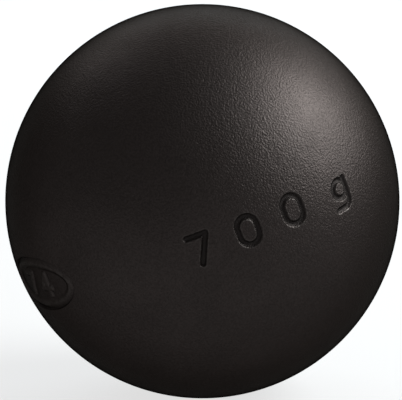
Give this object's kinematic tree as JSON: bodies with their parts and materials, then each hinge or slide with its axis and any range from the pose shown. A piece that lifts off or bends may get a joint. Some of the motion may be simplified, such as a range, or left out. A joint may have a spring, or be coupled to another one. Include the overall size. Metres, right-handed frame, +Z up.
{
  "type": "petanque boule",
  "caption": "Hollow satin-black steel playing ball for petanque, made of welded half-shells, with plain engraved and stamped size figures on its front half.",
  "frame": {"origin": "centre of the ball", "axes": "+Z up in the stored pose; Y is the weld's axis, with the weld in the XZ plane; the marked half-shell faces -Y and the plain one +Y; +X is to the right when the marked half is looked at"},
  "size_m": [0.074, 0.074, 0.074],
  "materials": {
    "blackened_steel": "satin black burnished carbon steel with a fine grain",
    "weld_metal": "weld metal ground flush and blackened with the ball"
  },
  "bodies": {
    "root": {"marked_half_shell": "blackened_steel", "plain_half_shell": "blackened_steel", "weld_bead": "weld_metal"}
  },
  "joints": []
}
